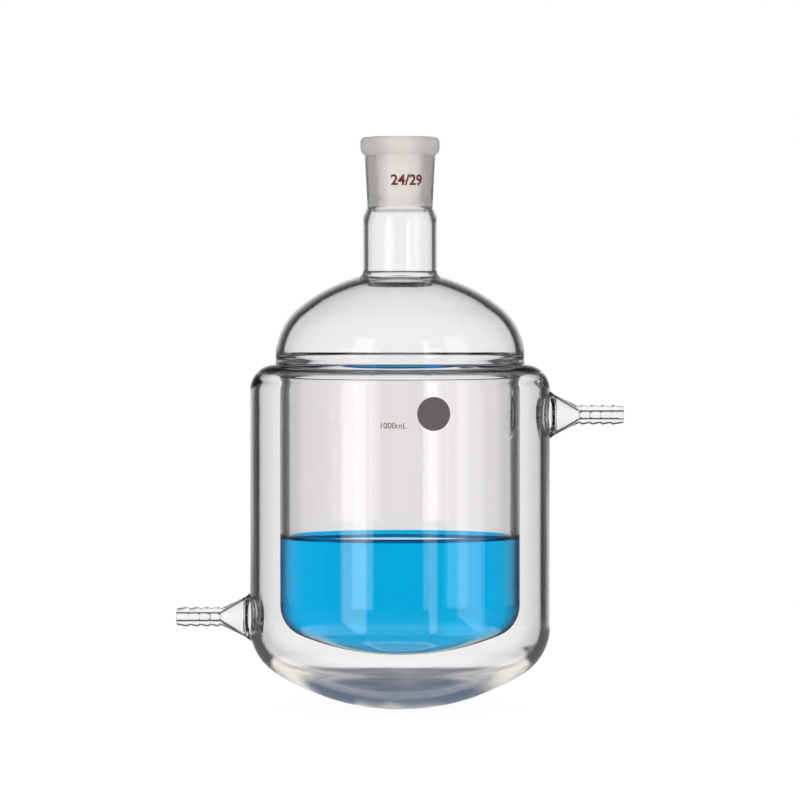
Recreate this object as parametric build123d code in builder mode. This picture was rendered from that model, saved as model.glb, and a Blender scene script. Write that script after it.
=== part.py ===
from build123d import *
from math import asin, atan2, degrees, sqrt
import os

# A jacketed glass reactor: a round-bottomed inner vessel sealed inside a wider dished jacket,
# with a domed head, a tapered ground-glass socket and two ridged hose nozzles for the jacket.
# Every piece is a blank of borosilicate glass, and the blanks meet where they are fused.
# Millimetres, +Z up, origin on the bench under the middle of the foot, nozzles along X.

# Overall and main heights
overall_height = 285.0
head_height = 113.2
seal_collar_height = 6.2
seal_skirt = 1.5
vessel_floor_height = 25.3
lower_nozzle_height = 45.4
upper_nozzle_drop = 25.4

# Jacket
jacket_diameter = 150.0
jacket_wall = 4.5
jacket_crown_radius = 115.0
jacket_knuckle_radius = 27.0
foot_diameter = 24.0

# Inner vessel
vessel_diameter = 120.0
vessel_wall = 4.5
vessel_crown_radius = 118.0
vessel_knuckle_radius = 17.0

# Ring seal between vessel, jacket and head
waist_fillet = 1.2
seal_throat_height = 9.0

# Domed head
dome_step = 2.3
dome_wall = 4.0
dome_crown_radius = 80.0
dome_knuckle_radius = 33.0
dome_tuck = 3.0
neck_fillet = 3.0

# Neck
neck_diameter = 36.8
neck_wall = 2.5
neck_draw_height = 6.0
neck_throat_height = 8.0

# Ground socket, a 24/29 standard taper
cone_mouth_diameter = 24.0
cone_length = 29.0
cone_taper = 0.1
mouth_chamfer = 0.4
socket_length = 35.5
socket_throat_diameter = 25.6
socket_waist_diameter = 32.5
socket_barrel_diameter = 35.2
socket_bead_diameter = 39.6
socket_bead_height = 5.2
socket_bead_run = 3.8
socket_bead_round = 2.2
socket_step_round = 0.8

# Nozzles
port_diameter = 17.0
flare_length = 14.4
flare_cone_length = 10.6
flare_cone_diameter = 18.6
flare_foot_diameter = 24.0
flare_wall = 1.6
nozzle_bore = 3.3
barb_length = 22.35
barb_root_diameter = 8.4
barb_crest_diameter = 9.8
barb_count = 4
barb_pitch = 5.1
barb_land = 0.7
barb_drop = 0.8
barb_tip_run = 5.1
barb_crest_round = 0.8
fire_polish = 0.6

# Radii and heights that follow from the sizes above. The waist hangs below the mouth by the
# length of the head, and the upper nozzle hangs below the waist.
waist_height = overall_height - head_height
upper_nozzle_height = waist_height - upper_nozzle_drop
jacket_radius = jacket_diameter / 2
jacket_bore_radius = jacket_radius - jacket_wall
vessel_radius = vessel_diameter / 2
vessel_bore_radius = vessel_radius - vessel_wall
foot_radius = foot_diameter / 2
neck_radius = neck_diameter / 2
neck_bore_radius = neck_radius - neck_wall
port_radius = port_diameter / 2
barb_root_radius = barb_root_diameter / 2
barb_crest_radius = barb_crest_diameter / 2
nozzle_bore_radius = nozzle_bore / 2


def crown_offset(crown_radius, knuckle_radius, wall_radius):
    """Height between the centre of a dished end's crown and the centre of its knuckle."""
    return sqrt((crown_radius - knuckle_radius) ** 2 - (wall_radius - knuckle_radius) ** 2)


def crown_angle(crown_radius, knuckle_radius, wall_radius):
    """Angle from the axis, in degrees, at which a dished end's crown meets its knuckle."""
    run = wall_radius - knuckle_radius
    return degrees(atan2(run, crown_offset(crown_radius, knuckle_radius, wall_radius)))


# The head's rim, where the dome stands on the ring seal
dome_radius = vessel_radius + dome_step
dome_knuckle_centre = dome_radius - dome_knuckle_radius
seal_top_height = waist_height + seal_collar_height
dome_base_height = seal_top_height - dome_tuck
rim_radius = dome_knuckle_centre + sqrt(dome_knuckle_radius**2 - dome_tuck**2)
rim_bore_radius = dome_knuckle_centre + sqrt((dome_knuckle_radius - dome_wall) ** 2 - dome_tuck**2)

# The rolled shoulder turns from the jacket wall to the head's rim, and the seam lies under it
shoulder_radius = jacket_radius - rim_radius
shoulder_centre_height = waist_height - shoulder_radius
seam_height = shoulder_centre_height - seal_skirt
cavity_round = (jacket_bore_radius - vessel_radius) / 2
cavity_centre_height = waist_height - jacket_wall - cavity_round

# The dome's crown and the corner where the neck leaves it
dome_crown_height = dome_base_height - crown_offset(
    dome_crown_radius, dome_knuckle_radius, dome_radius
)
dome_bore_crown_radius = dome_crown_radius - dome_wall
neck_corner_height = dome_crown_height + sqrt(dome_crown_radius**2 - neck_radius**2)
throat_corner_height = dome_crown_height + sqrt(dome_bore_crown_radius**2 - neck_bore_radius**2)
neck_seam_height = neck_corner_height + neck_fillet
socket_seam_height = overall_height - socket_length

# The jacket's dished bottom, cut flat where it stands
jacket_crown_height = sqrt(jacket_crown_radius**2 - foot_radius**2)
jacket_knuckle_height = jacket_crown_height - crown_offset(
    jacket_crown_radius, jacket_knuckle_radius, jacket_radius
)
jacket_knuckle_centre = jacket_radius - jacket_knuckle_radius
jacket_crown_angle = crown_angle(jacket_crown_radius, jacket_knuckle_radius, jacket_radius)
foot_angle = degrees(asin(foot_radius / jacket_crown_radius))

# The inner vessel's dished bottom
vessel_crown_height = vessel_floor_height + vessel_crown_radius
vessel_knuckle_height = vessel_crown_height - crown_offset(
    vessel_crown_radius, vessel_knuckle_radius, vessel_radius
)
vessel_knuckle_centre = vessel_radius - vessel_knuckle_radius
vessel_crown_angle = crown_angle(vessel_crown_radius, vessel_knuckle_radius, vessel_radius)

# Each nozzle lies in a plane of its own, whose X runs outwards along the nozzle's axis
lower_nozzle = Plane((0, 0, lower_nozzle_height), x_dir=(-1, 0, 0), z_dir=(0, 1, 0))
upper_nozzle = Plane((0, 0, upper_nozzle_height), x_dir=(1, 0, 0), z_dir=(0, -1, 0))
flare_end = jacket_radius + flare_length
barb_tip = flare_end + barb_length


# The outside of the jacket as one filled form, kept as the seat that the nozzles are cut to
with BuildPart() as jacket_form:
    with BuildSketch(Plane.XZ):
        with BuildLine():
            foot = Line((0, 0), (foot_radius, 0))
            crown = CenterArc(
                (0, jacket_crown_height),
                jacket_crown_radius,
                foot_angle - 90,
                jacket_crown_angle - foot_angle,
            )
            knuckle = CenterArc(
                (jacket_knuckle_centre, jacket_knuckle_height),
                jacket_knuckle_radius,
                jacket_crown_angle - 90,
                90 - jacket_crown_angle,
            )
            side = Line(knuckle @ 1, (jacket_radius, shoulder_centre_height))
            shoulder = CenterArc((rim_radius, shoulder_centre_height), shoulder_radius, 0, 90)
            top = Line(shoulder @ 1, (0, waist_height))
            Line(top @ 1, foot @ 0)
        make_face()
    revolve(axis=Axis.Z)

# The jacket: a wide tube drawn down to a dished bottom, with a blown port for each nozzle
with BuildPart() as jacket_shell:
    add(jacket_form.part)
    split(bisect_by=Plane.XY.offset(seam_height), keep=Keep.BOTTOM)
    with BuildSketch(Plane.XZ):
        with BuildLine():
            crown = CenterArc(
                (0, jacket_crown_height),
                jacket_crown_radius - jacket_wall,
                -90,
                jacket_crown_angle,
            )
            knuckle = CenterArc(
                (jacket_knuckle_centre, jacket_knuckle_height),
                jacket_knuckle_radius - jacket_wall,
                jacket_crown_angle - 90,
                90 - jacket_crown_angle,
            )
            side = Line(knuckle @ 1, (jacket_bore_radius, seam_height))
            top = Line(side @ 1, (0, seam_height))
            Line(top @ 1, crown @ 0)
        make_face()
    revolve(axis=Axis.Z, mode=Mode.SUBTRACT)
    for nozzle in (lower_nozzle, upper_nozzle):
        with BuildSketch(Plane(nozzle.origin, z_dir=nozzle.x_dir)):
            Circle(port_radius)
        extrude(amount=jacket_radius, mode=Mode.SUBTRACT)

# The inner vessel: a tube with a rounded bottom, hung in the jacket from the ring seal
with BuildPart() as inner_vessel:
    with BuildSketch(Plane.XZ):
        with BuildLine():
            outer_crown = CenterArc(
                (0, vessel_crown_height), vessel_crown_radius, -90, vessel_crown_angle
            )
            outer_knuckle = CenterArc(
                (vessel_knuckle_centre, vessel_knuckle_height),
                vessel_knuckle_radius,
                vessel_crown_angle - 90,
                90 - vessel_crown_angle,
            )
            outer_side = Line(outer_knuckle @ 1, (vessel_radius, seam_height))
            rim = Line(outer_side @ 1, (vessel_bore_radius, seam_height))
            inner_side = Line(rim @ 1, (vessel_bore_radius, vessel_knuckle_height))
            inner_knuckle = CenterArc(
                (vessel_knuckle_centre, vessel_knuckle_height),
                vessel_knuckle_radius - vessel_wall,
                0,
                vessel_crown_angle - 90,
            )
            inner_crown = CenterArc(
                (0, vessel_crown_height),
                vessel_crown_radius - vessel_wall,
                vessel_crown_angle - 90,
                -vessel_crown_angle,
            )
            Line(inner_crown @ 1, outer_crown @ 0)
        make_face()
    revolve(axis=Axis.Z)

# The ring seal: the thick waist where vessel, jacket and head run together, with the jacket's
# rolled shoulder outside, the rounded top of the jacket space beneath, and a soft double bend
# inside, where the fused glass narrows from the head's bore to the vessel's
with BuildPart() as ring_seal:
    with BuildSketch(Plane.XZ) as profile:
        with BuildLine():
            vessel_seat = Line((vessel_bore_radius, seam_height), (vessel_radius, seam_height))
            cavity_in = Line(vessel_seat @ 1, (vessel_radius, cavity_centre_height))
            cavity_top = CenterArc(
                (vessel_radius + cavity_round, cavity_centre_height), cavity_round, 180, -180
            )
            cavity_out = Line(cavity_top @ 1, (jacket_bore_radius, seam_height))
            jacket_seat = Line(cavity_out @ 1, (jacket_radius, seam_height))
            skirt = Line(jacket_seat @ 1, (jacket_radius, shoulder_centre_height))
            shoulder = CenterArc((rim_radius, shoulder_centre_height), shoulder_radius, 0, 90)
            collar = Line(shoulder @ 1, (rim_radius, seal_top_height))
            head_seat = Line(collar @ 1, (rim_bore_radius, seal_top_height))
            bend = (
                (rim_bore_radius + vessel_bore_radius) / 2,
                seal_top_height - seal_throat_height / 2,
            )
            bore = Line(vessel_seat @ 0, (vessel_bore_radius, seal_top_height - seal_throat_height))
            TangentArc(bore @ 1, bend, tangent=bore % 1)
            TangentArc(head_seat @ 1, bend, tangent=(0, -1))
        make_face()
        waist = profile.vertices().sort_by_distance((rim_radius, waist_height))[0]
        fillet(waist, radius=waist_fillet)
    revolve(axis=Axis.Z)

# The domed head: a blown dome of even wall that turns up into the neck
dome_crown_sweep = crown_angle(dome_crown_radius, dome_knuckle_radius, dome_radius)
with BuildPart() as head_dome:
    with BuildSketch(Plane.XZ) as profile:
        with BuildLine():
            start = degrees(asin(dome_tuck / dome_knuckle_radius))
            outer_knuckle = CenterArc(
                (dome_knuckle_centre, dome_base_height),
                dome_knuckle_radius,
                start,
                90 - dome_crown_sweep - start,
            )
            corner = degrees(asin(neck_radius / dome_crown_radius))
            outer_crown = CenterArc(
                (0, dome_crown_height),
                dome_crown_radius,
                90 - dome_crown_sweep,
                dome_crown_sweep - corner,
            )
            outer_neck = Line(outer_crown @ 1, (neck_radius, neck_seam_height))
            neck_seat = Line(outer_neck @ 1, (neck_bore_radius, neck_seam_height))
            inner_neck = Line(neck_seat @ 1, (neck_bore_radius, throat_corner_height))
            corner = degrees(asin(neck_bore_radius / dome_bore_crown_radius))
            inner_crown = CenterArc(
                (0, dome_crown_height),
                dome_bore_crown_radius,
                90 - corner,
                corner - dome_crown_sweep,
            )
            start = degrees(asin(dome_tuck / (dome_knuckle_radius - dome_wall)))
            inner_knuckle = CenterArc(
                (dome_knuckle_centre, dome_base_height),
                dome_knuckle_radius - dome_wall,
                90 - dome_crown_sweep,
                start - 90 + dome_crown_sweep,
            )
            Line(inner_knuckle @ 1, outer_knuckle @ 0)
        make_face()
        outer = profile.vertices().sort_by_distance((neck_radius, neck_corner_height))[0]
        inner = profile.vertices().sort_by_distance((neck_bore_radius, throat_corner_height))[0]
        fillet([outer, inner], radius=neck_fillet)
    revolve(axis=Axis.Z)

# The neck: a short length of tube, drawn in at its top by one soft curve to meet the socket
cone_end_radius = (cone_mouth_diameter - cone_taper * cone_length) / 2
socket_throat_radius = socket_throat_diameter / 2
socket_waist_radius = socket_waist_diameter / 2
with BuildPart() as neck_tube:
    with BuildSketch(Plane.XZ):
        with BuildLine():
            seat = Line((neck_bore_radius, neck_seam_height), (neck_radius, neck_seam_height))
            side = Line(seat @ 1, (neck_radius, socket_seam_height - neck_draw_height))
            draw_in = TangentArc(
                side @ 1, (socket_waist_radius, socket_seam_height), tangent=side % 1
            )
            joint = Line(draw_in @ 1, (socket_throat_radius, socket_seam_height))
            bore = Line(seat @ 0, (neck_bore_radius, socket_seam_height - neck_throat_height))
            TangentArc(bore @ 1, joint @ 1, tangent=bore % 1)
        make_face()
    revolve(axis=Axis.Z)

# The socket: a thick barrel, widened to a bead at the mouth, with the taper ground inside it
socket_bead_radius = socket_bead_diameter / 2
barrel_top_height = overall_height - socket_bead_height - socket_bead_run
with BuildPart() as ground_socket:
    with BuildSketch(Plane.XZ) as profile:
        with BuildLine():
            bore = Line(
                (cone_end_radius, overall_height - cone_length),
                (cone_mouth_diameter / 2, overall_height),
            )
            mouth = Line(bore @ 1, (socket_bead_radius, overall_height))
            bead = Line(mouth @ 1, (socket_bead_radius, overall_height - socket_bead_height))
            step = TangentArc(
                bead @ 1, (socket_barrel_diameter / 2, barrel_top_height), tangent=bead % 1
            )
            barrel = Line(step @ 1, (socket_waist_radius, socket_seam_height))
            seat = Line(barrel @ 1, (socket_throat_radius, socket_seam_height))
            Line(seat @ 1, bore @ 0)
        make_face()
        rim = profile.vertices().sort_by_distance((socket_bead_radius, overall_height))[0]
        fillet(rim, radius=socket_bead_round)
        foot = profile.vertices().sort_by_distance((socket_barrel_diameter / 2, barrel_top_height))
        fillet(foot[0], radius=socket_step_round)
        lip = profile.vertices().sort_by_distance((cone_mouth_diameter / 2, overall_height))[0]
        chamfer(lip, length=mouth_chamfer)
    revolve(axis=Axis.Z)


# A nozzle's flare: a thin trumpet whose foot is fused round the port on the jacket's side
def nozzle_flare(nozzle):
    with BuildPart() as flare:
        with BuildSketch(nozzle):
            with BuildLine():
                cone_end = flare_end - flare_cone_length
                foot_end = jacket_bore_radius
                cone = Line(
                    (flare_end, barb_root_radius), (cone_end, flare_cone_diameter / 2)
                )
                foot = TangentArc(
                    cone @ 1, (jacket_radius, flare_foot_diameter / 2), tangent=cone % 1
                )
                root = Polyline(
                    foot @ 1,
                    (foot_end, flare_foot_diameter / 2),
                    (foot_end, port_radius),
                    (jacket_radius, port_radius),
                    (cone_end, flare_cone_diameter / 2 - flare_wall),
                    (flare_end, nozzle_bore_radius),
                )
                Line(root @ 1, cone @ 0)
            make_face()
        revolve(axis=Axis(nozzle.origin, nozzle.x_dir))
        add(jacket_form.part, mode=Mode.SUBTRACT)
    return flare


lower_nozzle_flare = nozzle_flare(lower_nozzle)
upper_nozzle_flare = nozzle_flare(upper_nozzle)


# A hose barb: a thick small tube with a row of ridges that rise gently from the tip and fall
# steeply towards the jacket, each with a softly rounded crest, and a fire-polished end
def hose_barb(nozzle):
    with BuildPart() as barb:
        with BuildSketch(nozzle) as profile:
            with BuildLine():
                Polyline(
                    (flare_end, 0),
                    (barb_tip, 0),
                    (barb_tip, barb_root_radius),
                    (flare_end, barb_root_radius),
                    close=True,
                )
            make_face()
            for ridge in range(barb_count):
                land_end = barb_tip - barb_tip_run - ridge * barb_pitch
                land_start = land_end - barb_land
                rise = barb_tip_run if ridge == 0 else barb_pitch - barb_land - barb_drop
                with BuildLine():
                    Polyline(
                        (land_end + rise, barb_root_radius),
                        (land_end, barb_crest_radius),
                        (land_start, barb_crest_radius),
                        (land_start - barb_drop, barb_root_radius),
                        close=True,
                    )
                make_face()
            crests = profile.vertices().group_by(Axis.Y)[-1]
            fillet(crests, radius=barb_crest_round)
        revolve(axis=Axis(nozzle.origin, nozzle.x_dir))
        tip_face = barb.faces().filter_by(GeomType.PLANE).sort_by(Axis(nozzle.origin, nozzle.x_dir))
        fillet(tip_face[-1].edges(), radius=fire_polish)
        with BuildSketch(Plane(nozzle.origin, z_dir=nozzle.x_dir)):
            Circle(nozzle_bore_radius)
        extrude(amount=barb_tip, mode=Mode.SUBTRACT)
    return barb


lower_hose_barb = hose_barb(lower_nozzle)
upper_hose_barb = hose_barb(upper_nozzle)

pieces = {
    "jacket_shell": jacket_shell,
    "inner_vessel": inner_vessel,
    "ring_seal": ring_seal,
    "head_dome": head_dome,
    "neck_tube": neck_tube,
    "ground_socket": ground_socket,
    "lower_nozzle_flare": lower_nozzle_flare,
    "lower_hose_barb": lower_hose_barb,
    "upper_nozzle_flare": upper_nozzle_flare,
    "upper_hose_barb": upper_hose_barb,
}
os.makedirs("parts", exist_ok=True)
for name, piece in pieces.items():
    piece.part.label = name
    export_step(piece.part, f"parts/{name}.step")
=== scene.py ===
from math import asin, atan2, ceil, cos, degrees, pi, radians, sin, sqrt, tan

import bpy
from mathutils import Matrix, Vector


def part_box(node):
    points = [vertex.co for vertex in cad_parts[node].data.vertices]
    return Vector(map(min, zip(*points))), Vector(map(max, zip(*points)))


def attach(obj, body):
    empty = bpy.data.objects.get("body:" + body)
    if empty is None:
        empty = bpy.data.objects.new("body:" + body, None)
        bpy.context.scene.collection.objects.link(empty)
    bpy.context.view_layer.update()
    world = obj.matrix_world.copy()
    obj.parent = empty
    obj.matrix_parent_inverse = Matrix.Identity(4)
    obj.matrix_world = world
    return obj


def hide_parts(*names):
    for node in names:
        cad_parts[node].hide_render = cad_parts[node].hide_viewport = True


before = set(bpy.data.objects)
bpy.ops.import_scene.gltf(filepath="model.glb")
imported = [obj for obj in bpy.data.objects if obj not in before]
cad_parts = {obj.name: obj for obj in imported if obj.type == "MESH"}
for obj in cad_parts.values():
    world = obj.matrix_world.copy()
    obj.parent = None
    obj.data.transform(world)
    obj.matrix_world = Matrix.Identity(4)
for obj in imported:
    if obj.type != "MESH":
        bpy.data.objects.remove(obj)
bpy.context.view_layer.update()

mm = 0.001

# The clear glass body
# On the bench this is one glass: a jacket tube, an inner vessel, a ring seal, a domed head and a
# neck, fused in a lathe flame until the joints run together. It is drawn here as one turned skin,
# because light passes a fused joint without meeting a surface. Half sections are drawn point by
# point on the XZ plane and turned about the axis, as the glass is on the lathe.
pen = Vector((0.0, 0.0, 0.0))

# How finely it is drawn: the most that an arc turns, in degrees, or runs in one step, the first of
# the points that guard the ends of a straight run, and how near two points are when they are one
arc_turn = 6
arc_run = 3 * mm
guard = 1.2 * mm
weld = 0.004 * mm
around = 144


def start_section(name, x, z):
    """Starts a new mesh in edit mode, with a single point of its half section."""
    bpy.ops.object.select_all(action="DESELECT")
    bpy.ops.mesh.primitive_plane_add(size=mm, location=(x, 0, z))
    bpy.context.object.name = name
    bpy.ops.object.mode_set(mode="EDIT")
    bpy.ops.mesh.merge(type="CENTER")
    pen[:] = (x, 0, z)


def step_to(x, z):
    """Draws one straight edge."""
    bpy.ops.mesh.extrude_vertices_move(TRANSFORM_OT_translate={"value": (x - pen.x, 0, z - pen.z)})
    pen[:] = (x, 0, z)


def line(x, z):
    """Draws a straight run. A long one gets points near its ends, to keep its shading straight."""
    first = pen.copy()
    run = Vector((x, 0, z)) - first
    near = [guard * step for step in (1, 3) if run.length > 3 * guard * step]
    for reach in near + [run.length - step for step in reversed(near)]:
        point = first + run.normalized() * reach
        step_to(point.x, point.z)
    step_to(x, z)


def arc(x, z, sweep):
    """Draws an arc round a centre, by an angle in degrees that is positive from +X towards +Z."""
    radius = (pen - Vector((x, 0, z))).length
    steps = max(2, ceil(abs(sweep) / arc_turn), ceil(radians(abs(sweep)) * radius / arc_run))
    bpy.ops.mesh.spin(steps=steps, angle=radians(sweep), center=(x, 0, z), axis=(0, 1, 0))
    turn = atan2(pen.z - z, pen.x - x) + radians(sweep)
    pen[:] = (x + radius * cos(turn), 0, z + radius * sin(turn))


def tangent_arc(x, z, direction):
    """Draws an arc that leaves along a direction and ends at a point."""
    chord = Vector((x, 0, z)) - pen
    normal = Vector((-direction[1], 0, direction[0])).normalized()
    radius = chord.length_squared / (2 * normal.dot(chord))
    centre = pen + normal * radius
    sweep = 2 * degrees(asin(chord.length / (2 * abs(radius))))
    arc(centre.x, centre.z, sweep if radius > 0 else -sweep)


def soft_corner(x, z, next_x, next_z, radius):
    """Draws up to a corner and round it by a small arc, heading for the next point."""
    corner = Vector((x, 0, z))
    ahead = (corner - pen).normalized()
    onward = (Vector((next_x, 0, next_z)) - corner).normalized()
    turn = ahead.angle(onward)
    start = corner - ahead * radius * tan(turn / 2)
    step_to(start.x, start.z)
    side = 1 if ahead.x * onward.z > ahead.z * onward.x else -1
    arc(start.x - side * radius * ahead.z, start.z + side * radius * ahead.x, side * degrees(turn))


def turn_section(steps, axis=(0, 0, 1), height=0.0):
    """Turns the half section into a closed solid about an axis, and leaves edit mode."""
    bpy.ops.mesh.select_all(action="SELECT")
    bpy.ops.mesh.spin(steps=steps, angle=2 * pi, center=(0, 0, height), axis=axis)
    bpy.ops.mesh.select_all(action="SELECT")
    bpy.ops.mesh.remove_doubles(threshold=weld)
    bpy.ops.mesh.normals_make_consistent(inside=False)
    bpy.ops.object.mode_set(mode="OBJECT")
    piece = bpy.context.object
    bpy.ops.object.transform_apply(location=True, rotation=True, scale=True)
    return piece


def select_only(piece):
    """Makes one object the selected and active one."""
    bpy.ops.object.select_all(action="DESELECT")
    piece.select_set(True)
    bpy.context.view_layer.objects.active = piece


def apply_boolean(piece, other, operation):
    """Joins or cuts piece with other, and deletes other."""
    select_only(piece)
    cut = piece.modifiers.new("cut", "BOOLEAN")
    cut.operation = operation
    cut.object = other
    cut.solver = "EXACT"
    bpy.ops.object.modifier_apply(modifier=cut.name)
    bpy.data.objects.remove(other)


def dish(crown_radius, knuckle_radius, wall_radius):
    """Height from a dished end's crown centre to its knuckle centre, and the crown's half angle."""
    run = wall_radius - knuckle_radius
    offset = sqrt((crown_radius - knuckle_radius) ** 2 - run**2)
    return offset, degrees(atan2(run, offset))


jacket_radius = round(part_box("jacket_shell")[1][1], 4)
vessel_radius = round(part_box("inner_vessel")[1][1], 4)
vessel_floor = round(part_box("inner_vessel")[0][2], 4)
seal_top = round(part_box("ring_seal")[1][2], 4)
neck_radius = round(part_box("neck_tube")[1][1], 4)
neck_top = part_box("neck_tube")[1][2]
jacket_wall = 4.5 * mm
vessel_wall = 4.5 * mm
dome_wall = 4.0 * mm
neck_wall = 2.5 * mm
neck_bore = neck_radius - neck_wall
jacket_bore = jacket_radius - jacket_wall
vessel_bore = vessel_radius - vessel_wall

foot_radius = 12.0 * mm
jacket_crown = 115.0 * mm
jacket_knuckle = 27.0 * mm
jacket_crown_z = sqrt(jacket_crown**2 - foot_radius**2)
jacket_offset, jacket_angle = dish(jacket_crown, jacket_knuckle, jacket_radius)
jacket_knuckle_z = jacket_crown_z - jacket_offset
foot_angle = degrees(asin(foot_radius / jacket_crown))

dome_swell = 2.3 * mm
dome_radius = vessel_radius + dome_swell
dome_crown = 80.0 * mm
dome_knuckle = 33.0 * mm
dome_tuck = 3.0 * mm
dome_knuckle_x = dome_radius - dome_knuckle
dome_base_z = seal_top - dome_tuck
dome_offset, dome_angle = dish(dome_crown, dome_knuckle, dome_radius)
dome_crown_z = dome_base_z - dome_offset
rim_radius = dome_knuckle_x + sqrt(dome_knuckle**2 - dome_tuck**2)

waist_drop = 6.2 * mm
waist_z = seal_top - waist_drop
waist_round = 1.2 * mm
shoulder = jacket_radius - rim_radius
shoulder_z = waist_z - shoulder

vessel_crown = 118.0 * mm
vessel_knuckle = 17.0 * mm
vessel_crown_z = vessel_floor + vessel_crown
vessel_offset, vessel_angle = dish(vessel_crown, vessel_knuckle, vessel_radius)
vessel_knuckle_z = vessel_crown_z - vessel_offset
vessel_knuckle_x = vessel_radius - vessel_knuckle

# The outside, from the foot up to the top of the neck
start_section("clear_glass_body", 0, 0)
line(foot_radius, 0)
arc(0, jacket_crown_z, jacket_angle - foot_angle)
arc(jacket_radius - jacket_knuckle, jacket_knuckle_z, 90 - jacket_angle)
line(jacket_radius, shoulder_z)
waist_rise = sqrt((shoulder + waist_round) ** 2 - waist_round**2)
waist_turn = degrees(atan2(waist_rise, waist_round))
arc(rim_radius, shoulder_z, waist_turn)
arc(rim_radius + waist_round, shoulder_z + waist_rise, -waist_turn)
line(rim_radius, seal_top)
rim_turn = degrees(asin(dome_tuck / dome_knuckle))
arc(dome_knuckle_x, dome_base_z, 90 - dome_angle - rim_turn)
neck_round = 3.0 * mm
neck_rise = sqrt((dome_crown + neck_round) ** 2 - (neck_radius + neck_round) ** 2)
neck_turn = degrees(atan2(neck_rise, neck_radius + neck_round))
arc(0, dome_crown_z, neck_turn - 90 + dome_angle)
arc(neck_radius + neck_round, dome_crown_z + neck_rise, -neck_turn)
neck_end = 16.25 * mm
draw_height = 6.0 * mm
draw_round = (draw_height**2 + (neck_radius - neck_end) ** 2) / (2 * (neck_radius - neck_end))
line(neck_radius, neck_top - draw_height)
arc(neck_radius - draw_round, neck_top - draw_height, degrees(asin(draw_height / draw_round)))

# The inside, from the throat down to the vessel's floor
throat = 12.8 * mm
throat_height = 8.0 * mm
throat_round = (throat_height**2 + (neck_bore - throat) ** 2) / (2 * (neck_bore - throat))
line(throat, neck_top)
arc(neck_bore - throat_round, neck_top - throat_height, -degrees(asin(throat_height / throat_round)))
bore_crown = dome_crown - dome_wall
bore_rise = sqrt((bore_crown + neck_round) ** 2 - (neck_bore + neck_round) ** 2)
bore_turn = degrees(atan2(bore_rise, neck_bore + neck_round))
line(neck_bore, dome_crown_z + bore_rise)
arc(neck_bore + neck_round, dome_crown_z + bore_rise, bore_turn)
arc(0, dome_crown_z, 90 - dome_angle - bore_turn)
rim_turn = degrees(asin(dome_tuck / (dome_knuckle - dome_wall)))
arc(dome_knuckle_x, dome_base_z, rim_turn - 90 + dome_angle)
seal_throat = 9.0 * mm
rim_bore = dome_knuckle_x + sqrt((dome_knuckle - dome_wall) ** 2 - dome_tuck**2)
bend_round = (seal_throat**2 + (rim_bore - vessel_bore) ** 2) / (4 * (rim_bore - vessel_bore))
bend_turn = degrees(asin(seal_throat / (2 * bend_round)))
arc(rim_bore - bend_round, seal_top, -bend_turn)
arc(vessel_bore + bend_round, seal_top - seal_throat, bend_turn)
line(vessel_bore, vessel_knuckle_z)
arc(vessel_knuckle_x, vessel_knuckle_z, vessel_angle - 90)
arc(0, vessel_crown_z, -vessel_angle)
glass_body = turn_section(around)

# The jacket space between the two walls, drawn as a solid to be cut out
start_section("jacket_space", 0, vessel_floor)
arc(0, vessel_crown_z, vessel_angle)
arc(vessel_knuckle_x, vessel_knuckle_z, 90 - vessel_angle)
space_round = (jacket_bore - vessel_radius) / 2
space_top = waist_z - jacket_wall - space_round
line(vessel_radius, space_top)
arc(vessel_radius + space_round, space_top, -180)
line(jacket_bore, jacket_knuckle_z)
arc(jacket_radius - jacket_knuckle, jacket_knuckle_z, jacket_angle - 90)
arc(0, jacket_crown_z, -jacket_angle)
jacket_space = turn_section(around)

# The hose nozzles
# Each is a trumpet-shaped foot blown out of the jacket wall, with a thick ridged hose end fused on.
# Both are turned about their own axis: first the outside, then the way through for the fluid.
ridges = 4
barb_root = 4.2 * mm
barb_crest = 4.9 * mm
barb_pitch = 5.1 * mm
barb_land = 0.7 * mm
barb_drop = 0.8 * mm
barb_round = 0.8 * mm
barb_tip_run = 5.1 * mm
fire_polish = 0.6 * mm
polish_bulge = 0.3 * fire_polish
flare_end = round(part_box("upper_hose_barb")[0][0], 5)
barb_tip = round(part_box("upper_hose_barb")[1][0], 5)
cone_run = 10.6 * mm
cone_end = flare_end - cone_run
cone_radius = 9.3 * mm
flare_foot = 12.0 * mm
flare_wall = 1.6 * mm
port_radius = 8.5 * mm
port_depth = 4.0 * mm
nozzle_bore = 1.65 * mm
mouth_ease = 0.4 * mm
nozzle_around = 64


def nozzle_outside(side, height):
    """The outside of one nozzle as a solid, from its tip to inside the jacket wall."""
    start_section("nozzle_outside", side * barb_tip, height)
    step_to(side * barb_tip, height + barb_root - fire_polish)
    step_to(side * (barb_tip - polish_bulge), height + barb_root - polish_bulge)
    step_to(side * (barb_tip - fire_polish), height + barb_root)
    for ridge in range(ridges):
        land_end = barb_tip - barb_tip_run - ridge * barb_pitch
        land_start = land_end - barb_land
        foot = land_start - barb_drop
        crest_z = height + barb_crest
        soft_corner(side * land_end, crest_z, side * land_start, crest_z, barb_round)
        soft_corner(side * land_start, crest_z, side * foot, height + barb_root, barb_round)
        step_to(side * foot, height + barb_root)
    step_to(side * flare_end, height + barb_root)
    step_to(side * cone_end, height + cone_radius)
    tangent_arc(
        side * jacket_radius, height + flare_foot, (side * (cone_end - flare_end), cone_radius - barb_root)
    )
    step_to(side * (jacket_bore + jacket_wall / 2), height + flare_foot)
    step_to(side * (jacket_bore + jacket_wall / 2), height)
    return turn_section(nozzle_around, axis=(1, 0, 0), height=height)


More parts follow.
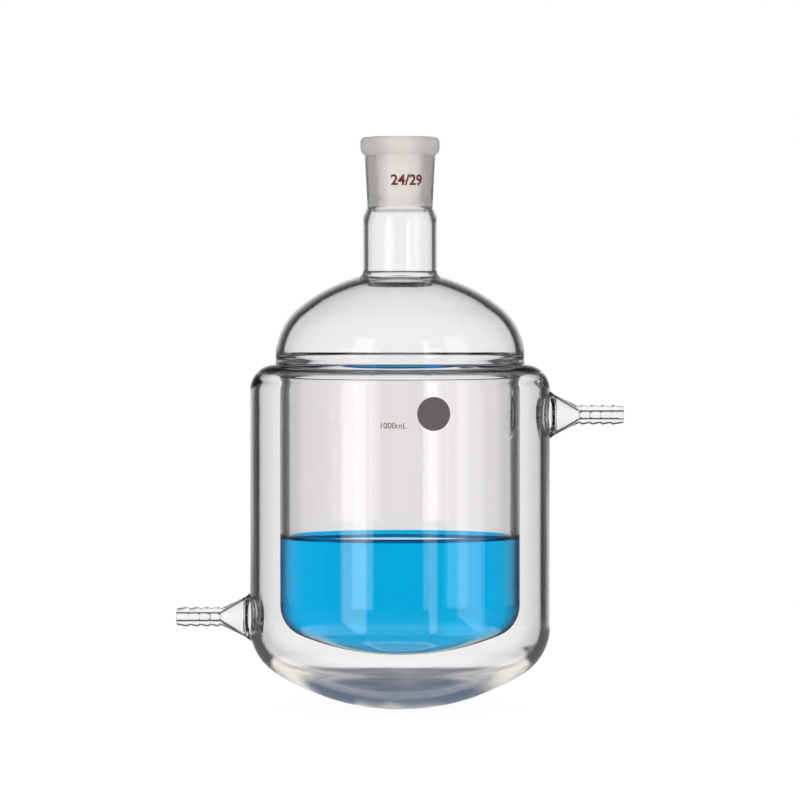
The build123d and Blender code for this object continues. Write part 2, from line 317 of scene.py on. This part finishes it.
def nozzle_way(side, height):
    """The way through one nozzle as a solid, from the jacket space out past its tip."""
    start_section("nozzle_way", side * (jacket_bore - port_depth), height)
    step_to(side * (jacket_bore - port_depth), height + port_radius)
    step_to(side * jacket_radius, height + port_radius)
    step_to(side * cone_end, height + cone_radius - flare_wall)
    step_to(side * flare_end, height + nozzle_bore)
    step_to(side * (barb_tip - mouth_ease), height + nozzle_bore)
    step_to(side * (barb_tip + mouth_ease), height + nozzle_bore + 2 * mouth_ease)
    step_to(side * (barb_tip + mouth_ease), height)
    return turn_section(nozzle_around, axis=(1, 0, 0), height=height)


for barb_node, side in (("lower_hose_barb", -1), ("upper_hose_barb", 1)):
    low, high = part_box(barb_node)
    axis_z = round((low[2] + high[2]) / 2, 4)
    apply_boolean(glass_body, nozzle_outside(side, axis_z), "UNION")
    apply_boolean(jacket_space, nozzle_way(side, axis_z), "UNION")
apply_boolean(glass_body, jacket_space, "DIFFERENCE")
select_only(glass_body)
bpy.ops.object.shade_smooth_by_angle(angle=radians(35))


def linear(hex_colour):
    """An sRGB hex colour as linear red, green, blue and alpha."""
    levels = [int(hex_colour[i : i + 2], 16) / 255 for i in (0, 2, 4)]
    return [c / 12.92 if c <= 0.04045 else ((c + 0.055) / 1.055) ** 2.4 for c in levels] + [1.0]


def add_node(tree, kind, settings=(), links=()):
    """Adds a node, sets its properties or input sockets, and links its inputs."""
    added = tree.nodes.new(kind)
    for name, value in dict(settings).items():
        if isinstance(name, str) and hasattr(added, name):
            setattr(added, name, value)
        else:
            added.inputs[name].default_value = value
    for name, source in dict(links).items():
        tree.links.new(source, added.inputs[name])
    return added


def new_material(name):
    """A material with an empty node tree and its output node."""
    material = bpy.data.materials.new(name)
    material.use_nodes = True
    material.node_tree.nodes.clear()
    output = material.node_tree.nodes.new("ShaderNodeOutputMaterial")
    return material, material.node_tree, output


def math_node(tree, operation, first, second):
    """A maths node of two inputs, each a number or an output."""
    added = tree.nodes.new("ShaderNodeMath")
    added.operation = operation
    for slot, value in enumerate((first, second)):
        if isinstance(value, (int, float)):
            added.inputs[slot].default_value = value
        else:
            tree.links.new(value, added.inputs[slot])
    return added.outputs[0]


def map_range(tree, value, low, high, start, end):
    """A value taken from low..high to start..end, and held at both ends."""
    limits = {"From Min": low, "From Max": high, "To Min": start, "To Max": end}
    return add_node(tree, "ShaderNodeMapRange", limits, {"Value": value}).outputs["Result"]


def colour_ramp(tree, value, stops):
    """A colour that runs through stops, each a value with a linear red, green and blue."""
    ramp = add_node(tree, "ShaderNodeValToRGB", {}, {"Fac": value})
    elements = ramp.color_ramp.elements
    for element, (position, colour) in zip(elements, (stops[0], stops[-1])):
        element.position = position
        element.color = (*colour, 1.0)
    for position, colour in stops[1:-1]:
        elements.new(position).color = (*colour, 1.0)
    return ramp.outputs["Color"]


glass_ior = 1.474
mirror_in_air = 0.5


def glass_material(name, colour, ior, mirror, shade, ripples=None, roughness=0.0):
    """Clear glass or liquid. Mirror is how strongly its surface reflects.
    Lamps pass it, so its shadow is soft. Ripples draws the height of its waves."""
    material, tree, output = new_material(name)
    glass = add_node(
        tree,
        "ShaderNodeBsdfPrincipled",
        {
            "Base Color": linear(colour),
            "Roughness": roughness,
            "IOR": ior,
            "Specular IOR Level": mirror,
            "Transmission Weight": 1.0,
        },
    )
    if ripples is not None:
        bump = add_node(tree, "ShaderNodeBump", {"Strength": 1.0, "Distance": mm}, {"Height": ripples(tree)})
        tree.links.new(bump.outputs["Normal"], glass.inputs["Normal"])
    clear = add_node(tree, "ShaderNodeBsdfTransparent", {"Color": linear(shade)})
    path = add_node(tree, "ShaderNodeLightPath")
    mix = add_node(
        tree,
        "ShaderNodeMixShader",
        {},
        {0: path.outputs["Is Shadow Ray"], 1: glass.outputs["BSDF"], 2: clear.outputs["BSDF"]},
    )
    tree.links.new(mix.outputs["Shader"], output.inputs["Surface"])
    return material


slow_wave = 28 * mm
quick_wave = 12 * mm


def blown_ripples(tree):
    """Height in mm of the waves that blowing leaves: faint everywhere, stronger where seams were fused."""
    place = add_node(tree, "ShaderNodeTexCoord").outputs["Object"]
    slow = add_node(tree, "ShaderNodeTexNoise", {"Scale": 1 / slow_wave, "Detail": 1.0}, {"Vector": place})
    quick = add_node(tree, "ShaderNodeTexNoise", {"Scale": 1 / quick_wave, "Detail": 1.0}, {"Vector": place})
    height = add_node(tree, "ShaderNodeSeparateXYZ", {}, {"Vector": place}).outputs["Z"]
    seam = (shoulder_z + seal_top) / 2
    away = math_node(tree, "ABSOLUTE", math_node(tree, "SUBTRACT", height, seam), 0.0)
    near = map_range(tree, away, 8 * mm, 18 * mm, 0.07, 0.0)
    waves = math_node(tree, "MULTIPLY", slow.outputs["Fac"], 0.02)
    return math_node(tree, "ADD", waves, math_node(tree, "MULTIPLY", quick.outputs["Fac"], near))


def from_axis(place):
    """How far a place lies from the axis of the glass."""
    return sqrt(place.x**2 + place.y**2)


# Borosilicate 3.3, blown and fire polished: bright and nearly colourless, with slow ripples. Where it
# is wetted by water or fused to the socket it hardly reflects, because light passes almost unbent.
colour = "FFFEFE"
shade = "F7F6F5"
mirror_wetted = 0.04
clear_glass = glass_material(
    "borosilicate_fire_polished", colour, glass_ior, mirror_in_air, shade, blown_ripples
)
wetted_glass = glass_material("borosilicate_wetted", colour, glass_ior, mirror_wetted, shade, blown_ripples)
glass_body.data.materials.clear()
glass_body.data.materials.append(clear_glass)
glass_body.data.materials.append(wetted_glass)
liquid_top = 84.6 * mm
near_by = 0.1 * mm
for face in glass_body.data.polygons:
    centre, normal = face.center, face.normal
    reach = from_axis(centre)
    inward = normal.z - (normal.x * centre.x + normal.y * centre.y) / max(mm, reach)
    wetted = vessel_floor + vessel_wall / 2 < centre.z < liquid_top and inward > 0
    seam = centre.z > neck_top - near_by
    if reach < vessel_bore + near_by and (wetted or seam):
        face.material_index = 1
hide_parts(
    "jacket_shell",
    "inner_vessel",
    "ring_seal",
    "head_dome",
    "neck_tube",
    "lower_nozzle_flare",
    "lower_hose_barb",
    "upper_nozzle_flare",
    "upper_hose_barb",
)
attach(glass_body, "root")

# The ground socket
# A thick pressed and lathe-finished blank whose 24/29 taper and bead are ground with silicon carbide.
# The taper shows through the barrel, so the whole socket reads as matt, pale grey glass.
socket_low, socket_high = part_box("ground_socket")
# The fused seam overlaps by a hair, since a gap would throw light back like a mirror
seam_overlap = 0.02 * mm
socket_bottom = socket_low[2] - seam_overlap
socket_top = socket_high[2]
bead_radius = socket_high[1]
bead_height = 5.2 * mm
bead_bottom = socket_top - bead_height
bead_flare = 3.8 * mm
barrel_top = bead_bottom - bead_flare
barrel_radius = 17.6 * mm
bead_round = 2.2 * mm
cone_length = 29.0 * mm
cone_low = 10.55 * mm
cone_high = 12.0 * mm
cone_slope = (cone_high - cone_low) / cone_length
cone_bottom = socket_top - cone_length
lip = 0.4 * mm
socket_around = 96
start_section("ground_glass_socket", cone_low, cone_bottom)
line(cone_high - cone_slope * lip, socket_top - lip)
step_to(cone_high + lip, socket_top)
line(bead_radius - bead_round, socket_top)
arc(bead_radius - bead_round, socket_top - bead_round, -90)
line(bead_radius, bead_bottom)
tangent_arc(barrel_radius, barrel_top, (0, -1))
line(neck_end, socket_bottom)
line(throat, socket_bottom)
line(cone_low, cone_bottom)
socket_piece = turn_section(socket_around)
bpy.ops.object.shade_smooth_by_angle(angle=radians(30))
ground_glass, tree, output = new_material("ground_borosilicate")
place = add_node(tree, "ShaderNodeTexCoord")
# Real grit of 0.1 mm is too fine to show, so the grinding is drawn coarser
grit_size = 0.5 * mm
grit = add_node(
    tree, "ShaderNodeTexNoise", {"Scale": 1 / grit_size, "Detail": 3.0}, {"Vector": place.outputs["Object"]}
)
bump = add_node(
    tree, "ShaderNodeBump", {"Strength": 0.5, "Distance": 0.05 * mm}, {"Height": grit.outputs["Fac"]}
)
frosted = add_node(
    tree,
    "ShaderNodeBsdfPrincipled",
    {"Base Color": linear("FFFBF7"), "Roughness": 0.6, "IOR": glass_ior, "Transmission Weight": 0.8},
    {"Normal": bump.outputs["Normal"]},
)
tree.links.new(frosted.outputs["BSDF"], output.inputs["Surface"])
barrel_frost = 0.22
socket_glass = glass_material(
    "socket_outside", "FEFDFB", glass_ior, mirror_in_air, "E8E6E4", roughness=barrel_frost
)
socket_piece.data.materials.append(ground_glass)
socket_piece.data.materials.append(socket_glass)
socket_piece.data.materials.append(wetted_glass)
for face in socket_piece.data.polygons:
    centre = face.center
    ground = from_axis(centre) < cone_high + lip and centre.z > socket_bottom + mm
    if not ground and centre.z < barrel_top:
        face.material_index = 2 if centre.z < socket_bottom + seam_overlap else 1
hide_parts("ground_socket")
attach(socket_piece, "root")

# The blue liquid
# Dyed water, filled to a little under half the vessel. It wets the glass, so its side runs a hair
# into the wall, which lets light pass from glass to water as it does in the real vessel.
wetting = 0.15 * mm
meniscus = ((0.0, 2.0 * mm), (0.7 * mm, 0.6 * mm), (2.2 * mm, 0.0))
start_section("dyed_water", 0, vessel_floor + vessel_wall - wetting)
arc(0, vessel_crown_z, vessel_angle)
arc(vessel_knuckle_x, vessel_knuckle_z, 90 - vessel_angle)
line(vessel_bore + wetting, liquid_top + meniscus[0][1])
for inset, climb in meniscus:
    step_to(vessel_bore - inset, liquid_top + climb)
line(0, liquid_top)
liquid = turn_section(around)
bpy.ops.object.shade_smooth_by_angle(angle=radians(60))
water_ior = 1.333
blue = "02C5FF"
blue_shade = "B4E2F8"
mirror_behind_glass = 0.05
blue_water = glass_material("dyed_water", blue, water_ior, mirror_behind_glass, blue_shade)
open_water = glass_material("dyed_water_surface", blue, water_ior, mirror_in_air, blue_shade)
liquid.data.materials.append(blue_water)
liquid.data.materials.append(open_water)
for face in liquid.data.polygons:
    if face.center.z > liquid_top - near_by and from_axis(face.center) < vessel_bore:
        face.material_index = 1
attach(liquid, "root")


# The prints
# Ceramic enamel is screened on and fired: the joint size in red on the socket, the capacity in red
# on the jacket, and a plain matt grey spot beside it to write on with pencil.
slice_width = 1.2 * mm
print_weld = 0.01 * mm
coat_thickness = 0.04 * mm


def curved_print(name, radius, centre_x, centre_z, lift, taper=0.0):
    """Wraps the active flat mesh, drawn on XZ about zero, round a wall that faces the viewer."""
    piece = bpy.context.object
    piece.name = name
    bpy.ops.object.mode_set(mode="EDIT")
    half = max(abs(v.co.x) for v in piece.data.vertices)
    cuts = ceil(2 * half / slice_width)
    for i in range(1, cuts):
        bpy.ops.mesh.select_all(action="SELECT")
        x = -half + 2 * half * i / cuts
        bpy.ops.mesh.bisect(plane_co=(x, 0, 0), plane_no=(1, 0, 0))
    bpy.ops.mesh.select_all(action="SELECT")
    bpy.ops.mesh.remove_doubles(threshold=print_weld)
    bpy.ops.object.mode_set(mode="OBJECT")
    for v in piece.data.vertices:
        wall = radius + lift + taper * v.co.z
        angle = (v.co.x + centre_x) / radius
        v.co = (wall * sin(angle), -wall * cos(angle), centre_z + v.co.z)
    coat = piece.modifiers.new("coat", "SOLIDIFY")
    coat.thickness = coat_thickness
    bpy.ops.object.modifier_apply(modifier=coat.name)
    return piece


def enamel(name, colour, roughness):
    """Fired enamel: matt, slightly grainy, with the colour broken up by the screen."""
    material, tree, output = new_material(name)
    place = add_node(tree, "ShaderNodeTexCoord").outputs["Object"]
    grain_size = 0.8 * mm
    grain = add_node(tree, "ShaderNodeTexNoise", {"Scale": 1 / grain_size, "Detail": 2.0}, {"Vector": place})
    base = linear(colour)[:3]
    dark = [level * 0.86 for level in base]
    shades = colour_ramp(tree, grain.outputs["Fac"], [(0.35, dark), (0.65, base)])
    bump = add_node(
        tree, "ShaderNodeBump", {"Strength": 0.4, "Distance": 0.03 * mm}, {"Height": grain.outputs["Fac"]}
    )
    matt = add_node(
        tree,
        "ShaderNodeBsdfPrincipled",
        {"Roughness": roughness},
        {"Base Color": shades, "Normal": bump.outputs["Normal"]},
    )
    tree.links.new(matt.outputs["BSDF"], output.inputs["Surface"])
    return material


def flat_text(words, size, bold):
    """Words as a flat mesh, centred, standing on the XZ plane and facing -Y."""
    bpy.ops.object.select_all(action="DESELECT")
    bpy.ops.object.text_add(rotation=(radians(90), 0, 0))
    text = bpy.context.object
    text.data.body = words
    text.data.size = size
    text.data.offset = bold
    text.data.align_x = "CENTER"
    text.data.align_y = "CENTER"
    text.data.resolution_u = 6
    bpy.ops.object.convert(target="MESH")
    bpy.ops.object.transform_apply(location=True, rotation=True, scale=True)


red_enamel = enamel("fired_red_enamel", "8E2A35", roughness=0.55)
grey_enamel = enamel("fired_grey_enamel", "757170", roughness=0.8)
flat_text("24/29", size=7.2 * mm, bold=0.2 * mm)
barrel_at_print = 17.0 * mm
joint_size = curved_print(
    "joint_size_print",
    barrel_at_print,
    centre_x=3.6 * mm,
    centre_z=263.0 * mm,
    lift=0.15 * mm,
    taper=0.036,
)
joint_size.data.materials.append(red_enamel)

# The capacity lies a hair inside the glass, so that nothing stands out past the jacket's front
flat_text("1000mL", size=4.1 * mm, bold=0.0)
capacity = curved_print(
    "capacity_print", jacket_radius, centre_x=-3.5 * mm, centre_z=142.2 * mm, lift=-0.05 * mm
)
capacity.data.materials.append(red_enamel)
bpy.ops.object.select_all(action="DESELECT")
spot_radius = 8.2 * mm
facing = (radians(90), 0, 0)
bpy.ops.mesh.primitive_circle_add(vertices=64, radius=spot_radius, fill_type="NGON", rotation=facing)
bpy.ops.object.transform_apply(location=True, rotation=True, scale=True)
spot = curved_print("write_on_spot", jacket_radius, centre_x=16.5 * mm, centre_z=148.0 * mm, lift=0.1 * mm)
spot.data.materials.append(grey_enamel)
for piece in (joint_size, capacity, spot):
    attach(piece, "root")


# Floor, light and camera
# A pale bench in front of a white sweep, as glass is photographed: rays that pass straight through
# the glass see white, and rays that its walls throw back see the dimmer room, which draws the edges.
def light_paths(tree):
    """Two masks: rays that reach the eye straight or through glass, and rays that glass threw back."""
    path = add_node(tree, "ShaderNodeLightPath")
    seen = math_node(tree, "MAXIMUM", path.outputs["Is Camera Ray"], path.outputs["Is Transmission Ray"])
    thrown = math_node(tree, "GREATER_THAN", path.outputs["Glossy Depth"], 0.5)
    straight = math_node(tree, "MAXIMUM", math_node(tree, "SUBTRACT", seen, thrown), 0.0)
    return straight, thrown


def mix_shaders(tree, factor, first, second):
    """Mixes two shaders by a mask."""
    return add_node(tree, "ShaderNodeMixShader", {}, {0: factor, 1: first.outputs[0], 2: second.outputs[0]})


def room_light(tree, direction):
    """How bright the room is where glass throws a ray: a white sweep straight behind the glass, dark
    cards round it, a paler room to the sides, and dark again behind the viewer."""
    parts = add_node(tree, "ShaderNodeSeparateXYZ", {}, {"Vector": direction})
    off = math_node(tree, "DIVIDE", math_node(tree, "ARCCOSINE", parts.outputs["Y"], 0.0), pi)
    levels_by_angle = (
        (8, 1.0),
        (12, 0.6),
        (20, 0.18),
        (26, 0.06),
        (38, 0.05),
        (50, 0.4),
        (68, 0.12),
        (90, 0.03),
        (180, 0.02),
    )
    return colour_ramp(tree, off, [(angle / 180, (level,) * 3) for angle, level in levels_by_angle])


def sweep_light(tree, direction):
    """How bright the sweep is where a ray leaves the glass: white, with a grey ceiling above and a dark
    card standing at each side, which draw the rims of rods and of the filled vessel."""
    parts = add_node(tree, "ShaderNodeSeparateXYZ", {}, {"Vector": direction})
    ceiling = map_range(tree, parts.outputs["Z"], 0.55, 0.85, 1.0, 0.3)
    card_place = 0.42
    off_card = math_node(tree, "SUBTRACT", parts.outputs["Y"], card_place)
    off_card = math_node(tree, "ABSOLUTE", off_card, 0.0)
    return math_node(tree, "MULTIPLY", ceiling, map_range(tree, off_card, 0.16, 0.4, 0.04, 1.0))


def emission(tree, colour):
    """A light of one colour, or of the colour that an output gives."""
    if isinstance(colour, tuple):
        return add_node(tree, "ShaderNodeEmission", {"Color": (*colour, 1.0), "Strength": 1.0})
    return add_node(tree, "ShaderNodeEmission", {"Strength": 1.0}, {"Color": colour})


bench_size = 1.2
bpy.ops.mesh.primitive_plane_add(size=bench_size, location=(0, 0, 0))
bench = bpy.context.object
bench.name = "bench"
material, tree, output = new_material("pale_bench")
straight, thrown = light_paths(tree)
matt = add_node(tree, "ShaderNodeBsdfDiffuse", {"Color": (0.8, 0.8, 0.8, 1.0)})
faint = add_node(tree, "ShaderNodeBsdfDiffuse", {"Color": (0.16, 0.16, 0.16, 1.0)})
glow = emission(tree, (0.93, 0.93, 0.93))
white = add_node(tree, "ShaderNodeAddShader", {}, {0: faint.outputs[0], 1: glow.outputs[0]})

# Seen through the glass, the bench shows a cloudy blue-grey painted shade under the foot and a strip
# of dark painted shade below each nozzle; the camera sees the bench plain. What the glass throws back
# sees painted rings round the foot instead: warm white painted highlights between grey painted shade.
# Bench colours of painted light: the greys are painted shade, the warm white is painted highlight
blue_grey = (0.13, 0.17, 0.24)
pale_grey = (0.27, 0.29, 0.34)
warm_highlight = (0.85, 0.82, 0.74)
dark_grey = (0.1, 0.1, 0.1)
cloud_size = 30 * mm
cloud_waver = 25 * mm
foot_shade_radius = 65 * mm
foot_shade_fade = 20 * mm
strip_x = 110 * mm
strip_half_width = 18 * mm
strip_side_fade = 8 * mm
strip_end = 160 * mm
strip_end_shift = 40 * mm
strip_end_fade = 30 * mm
place = add_node(tree, "ShaderNodeTexCoord").outputs["Object"]
cloud = add_node(tree, "ShaderNodeTexNoise", {"Scale": 1 / cloud_size, "Detail": 1.0}, {"Vector": place})
cloud = cloud.outputs["Fac"]
reach = add_node(tree, "ShaderNodeVectorMath", {"operation": "LENGTH"}, {0: place}).outputs["Value"]
waver = math_node(tree, "MULTIPLY", math_node(tree, "SUBTRACT", cloud, 0.5), cloud_waver)
ring = math_node(tree, "ADD", reach, waver)
# Painted rings for rays the glass throws back: warm white painted highlights, grey and dark painted shade
painted_rings_round_foot = [
    (0.0, pale_grey),
    (17 * mm, pale_grey),
    (20 * mm, warm_highlight),
    (23 * mm, blue_grey),
    (48 * mm, blue_grey),
    (60 * mm, warm_highlight),
    (90 * mm, warm_highlight),
    (100 * mm, dark_grey),
]
parts = add_node(tree, "ShaderNodeSeparateXYZ", {}, {"Vector": place})
sideways = math_node(tree, "ABSOLUTE", parts.outputs["X"], 0.0)
off_strip = math_node(tree, "ABSOLUTE", math_node(tree, "SUBTRACT", sideways, strip_x), 0.0)
strip_edge = strip_half_width + strip_side_fade

# The strip of painted shade below the lower nozzle, at -X, is the shorter one, because rays from there
# land nearer
side = math_node(tree, "SIGN", parts.outputs["X"], 0.0)
strip_reach = math_node(tree, "ADD", math_node(tree, "MULTIPLY", side, strip_end_shift), strip_end)
to_end = math_node(tree, "SUBTRACT", strip_reach, reach)
shade_strip = math_node(
    tree,
    "MULTIPLY",
    map_range(tree, off_strip, strip_half_width, strip_edge, 1.0, 0.0),
    map_range(tree, to_end, 0.0, strip_end_fade, 0.0, 1.0),
)
through = add_node(tree, "ShaderNodeLightPath").outputs["Transmission Depth"]
through = math_node(tree, "GREATER_THAN", through, 0.5)
# Painted shade under the foot: a cloudy blue-grey patch, shown only to rays that came through the glass
foot_shade_shape = map_range(tree, ring, foot_shade_radius, foot_shade_radius + foot_shade_fade, 1.0, 0.0)
foot_shade_mask = math_node(tree, "MULTIPLY", foot_shade_shape, through)
painted_foot_shade = emission(tree, colour_ramp(tree, cloud, [(0.35, blue_grey), (0.65, pale_grey)]))
seen = mix_shaders(tree, foot_shade_mask, white, painted_foot_shade)
# Dark grey painted shade in a strip below each nozzle, shown only to rays that came through the glass
shade_strip_seen = math_node(tree, "MULTIPLY", shade_strip, through)
seen = mix_shaders(tree, shade_strip_seen, seen, emission(tree, dark_grey))
unseen = mix_shaders(tree, thrown, matt, emission(tree, colour_ramp(tree, ring, painted_rings_round_foot)))
whole = mix_shaders(tree, straight, unseen, seen)
tree.links.new(whole.outputs[0], output.inputs["Surface"])
bench.data.materials.append(material)

world = bpy.data.worlds.new("room")
bpy.context.scene.world = world
world.use_nodes = True
tree = world.node_tree
tree.nodes.clear()
output = tree.nodes.new("ShaderNodeOutputWorld")
straight, thrown = light_paths(tree)
fill = add_node(tree, "ShaderNodeBackground", {"Color": (1.0, 1.0, 1.0, 1.0), "Strength": 0.6})
around_it = add_node(tree, "ShaderNodeTexCoord").outputs["Generated"]
room = add_node(tree, "ShaderNodeBackground", {"Strength": 1.0}, {"Color": room_light(tree, around_it)})
sweep = add_node(tree, "ShaderNodeBackground", {"Strength": 1.0}, {"Color": sweep_light(tree, around_it)})
backdrop = add_node(tree, "ShaderNodeBackground", {"Color": (1.0, 1.0, 1.0, 1.0), "Strength": 1.0})
whole = mix_shaders(tree, straight, mix_shaders(tree, thrown, fill, room), sweep)
direct = add_node(tree, "ShaderNodeLightPath").outputs["Is Camera Ray"]
whole = mix_shaders(tree, direct, whole, backdrop)
tree.links.new(whole.outputs[0], output.inputs["Surface"])


lamp_height = 1.3
lamp_lift = 0.4


def softbox(name, azimuth, distance, width, power):
    """An upright area lamp, at an angle right of the viewer, facing the glass."""
    turn = radians(azimuth)
    place = Vector((distance * sin(turn), -distance * cos(turn), lamp_lift))
    lamp = bpy.data.lights.new(name, "AREA")
    lamp.shape = "RECTANGLE"
    lamp.size = width
    lamp.size_y = lamp_height
    lamp.energy = power
    stand = bpy.data.objects.new(name, lamp)
    bpy.context.collection.objects.link(stand)
    stand.location = place
    stand.rotation_euler = (radians(90), 0, turn)


softbox("left_softbox", azimuth=-35, distance=1.3, width=0.45, power=2.7)
softbox("right_softbox", azimuth=55, distance=1.3, width=0.5, power=2.1)
softbox("right_strip", azimuth=25, distance=1.5, width=0.16, power=0.8)

camera_distance = 2.2
camera_z = 0.182
frame_width = 0.4
frame_centre_z = 0.1538
sensor_width = 36.0
camera = bpy.data.cameras.new("camera")
camera.sensor_width = sensor_width
camera.lens = sensor_width * camera_distance / frame_width
viewer = bpy.data.objects.new("camera", camera)
bpy.context.collection.objects.link(viewer)
viewer.location = (0, -camera_distance, camera_z)
look = Vector((0, 0, frame_centre_z)) - viewer.location
viewer.rotation_euler = look.to_track_quat("-Z", "Y").to_euler()
bpy.context.scene.camera = viewer

scene = bpy.context.scene
scene.view_settings.view_transform = "Standard"
scene.cycles.max_bounces = 32
scene.cycles.transmission_bounces = 32
scene.cycles.glossy_bounces = 16
scene.cycles.transparent_max_bounces = 32
